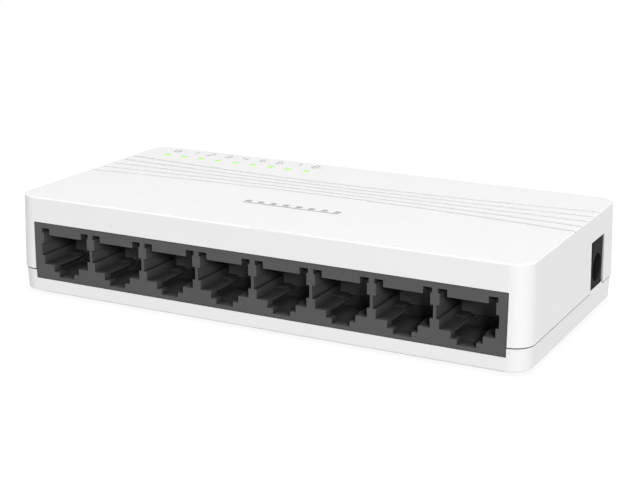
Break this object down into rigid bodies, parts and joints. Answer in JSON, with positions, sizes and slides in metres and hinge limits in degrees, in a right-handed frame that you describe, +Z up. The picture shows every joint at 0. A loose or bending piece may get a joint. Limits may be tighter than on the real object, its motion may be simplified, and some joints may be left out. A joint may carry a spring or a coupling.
{
  "type": "desktop network switch",
  "caption": "Slim white desktop network switch with a row of modular sockets along the front, a barrel power inlet in one side and indicator lights on top.",
  "frame": {"origin": "middle of the case's footprint, on the plane that the rubber feet stand on", "axes": "+Z up, sockets face -Y, power inlet faces +X"},
  "size_m": [0.1242, 0.0604, 0.023],
  "materials": {
    "case_plastic": "fine satin moulded, white",
    "mark_ink": "matt paint, mid grey",
    "foot_rubber": "matt",
    "port_plastic": "matt moulded, dark grey",
    "insert_plastic": "matt moulded",
    "contact_metal": "gold plated",
    "inlet_plastic": "matt moulded, black",
    "pin_metal": "nickel plated",
    "board_laminate": "solder mask",
    "screw_steel": "zinc plated",
    "clear_plastic": "clear moulded",
    "led_lens": "lit green",
    "chip_moulding": "moulded epoxy",
    "can_metal": "satin",
    "ferrite": "sintered"
  },
  "bodies": {
    "case": {"bottom_cover": "case_plastic", "top_cover": "case_plastic", "top_marks": "mark_ink", "rubber_foot_1": "foot_rubber", "rubber_foot_2": "foot_rubber", "rubber_foot_3": "foot_rubber", "rubber_foot_4": "foot_rubber", "circuit_board": "board_laminate", "board_screws": "screw_steel", "port_housing": "port_plastic", "contact_inserts": "insert_plastic", "port_1_contact_tails": "contact_metal", "port_2_contact_tails": "contact_metal", "port_3_contact_tails": "contact_metal", "port_4_contact_tails": "contact_metal", "port_5_contact_tails": "contact_metal", "port_6_contact_tails": "contact_metal", "port_7_contact_tails": "contact_metal", "port_8_contact_tails": "contact_metal", "light_pipe": "clear_plastic", "power_led": "led_lens", "port_1_led": "led_lens", "port_2_led": "led_lens", "port_3_led": "led_lens", "port_4_led": "led_lens", "port_5_led": "led_lens", "port_6_led": "led_lens", "port_7_led": "led_lens", "port_8_led": "led_lens", "dc_jack_housing": "inlet_plastic", "dc_jack_pin": "pin_metal", "dc_jack_terminal": "pin_metal", "transformer_1": "chip_moulding", "transformer_2": "chip_moulding", "transformer_3": "chip_moulding", "transformer_4": "chip_moulding", "switch_chip": "chip_moulding", "memory_chip": "chip_moulding", "regulator_chip": "chip_moulding", "crystal": "can_metal", "power_inductor": "ferrite", "capacitor_1": "can_metal", "capacitor_2": "can_metal", "chip_capacitors": "ferrite", "chip_resistors": "chip_moulding"},
    "port_1_contacts": {"port_1_contact_springs": "contact_metal"},
    "port_2_contacts": {"port_2_contact_springs": "contact_metal"},
    "port_3_contacts": {"port_3_contact_springs": "contact_metal"},
    "port_4_contacts": {"port_4_contact_springs": "contact_metal"},
    "port_5_contacts": {"port_5_contact_springs": "contact_metal"},
    "port_6_contacts": {"port_6_contact_springs": "contact_metal"},
    "port_7_contacts": {"port_7_contact_springs": "contact_metal"},
    "port_8_contacts": {"port_8_contact_springs": "contact_metal"},
    "inlet_contact": {"dc_jack_spring": "pin_metal"}
  },
  "joints": [
    {"name": "port_1_contact_bend", "type": "hinge", "parent": "case", "child": "port_1_contacts", "pos_m": [-0.04858, -0.02712, 0.0157], "axis": [1, 0, 0], "range_deg": [0, 12], "stiffness_Nm_per_rad": 0.3},
    {"name": "port_2_contact_bend", "type": "hinge", "parent": "case", "child": "port_2_contacts", "pos_m": [-0.0346, -0.02712, 0.0157], "axis": [1, 0, 0], "range_deg": [0, 12], "stiffness_Nm_per_rad": 0.3},
    {"name": "port_3_contact_bend", "type": "hinge", "parent": "case", "child": "port_3_contacts", "pos_m": [-0.02064, -0.02712, 0.0157], "axis": [1, 0, 0], "range_deg": [0, 12], "stiffness_Nm_per_rad": 0.3},
    {"name": "port_4_contact_bend", "type": "hinge", "parent": "case", "child": "port_4_contacts", "pos_m": [-0.00666, -0.02712, 0.0157], "axis": [1, 0, 0], "range_deg": [0, 12], "stiffness_Nm_per_rad": 0.3},
    {"name": "port_5_contact_bend", "type": "hinge", "parent": "case", "child": "port_5_contacts", "pos_m": [0.0073, -0.02712, 0.0157], "axis": [1, 0, 0], "range_deg": [0, 12], "stiffness_Nm_per_rad": 0.3},
    {"name": "port_6_contact_bend", "type": "hinge", "parent": "case", "child": "port_6_contacts", "pos_m": [0.02127, -0.02712, 0.0157], "axis": [1, 0, 0], "range_deg": [0, 12], "stiffness_Nm_per_rad": 0.3},
    {"name": "port_7_contact_bend", "type": "hinge", "parent": "case", "child": "port_7_contacts", "pos_m": [0.03524, -0.02712, 0.0157], "axis": [1, 0, 0], "range_deg": [0, 12], "stiffness_Nm_per_rad": 0.3},
    {"name": "port_8_contact_bend", "type": "hinge", "parent": "case", "child": "port_8_contacts", "pos_m": [0.04922, -0.02712, 0.0157], "axis": [1, 0, 0], "range_deg": [0, 12], "stiffness_Nm_per_rad": 0.3},
    {"name": "inlet_contact_bend", "type": "hinge", "parent": "case", "child": "inlet_contact", "pos_m": [0.04935, 0.0153, 0.0155], "axis": [0, -1, 0], "range_deg": [0, 4], "stiffness_Nm_per_rad": 0.5}
  ]
}
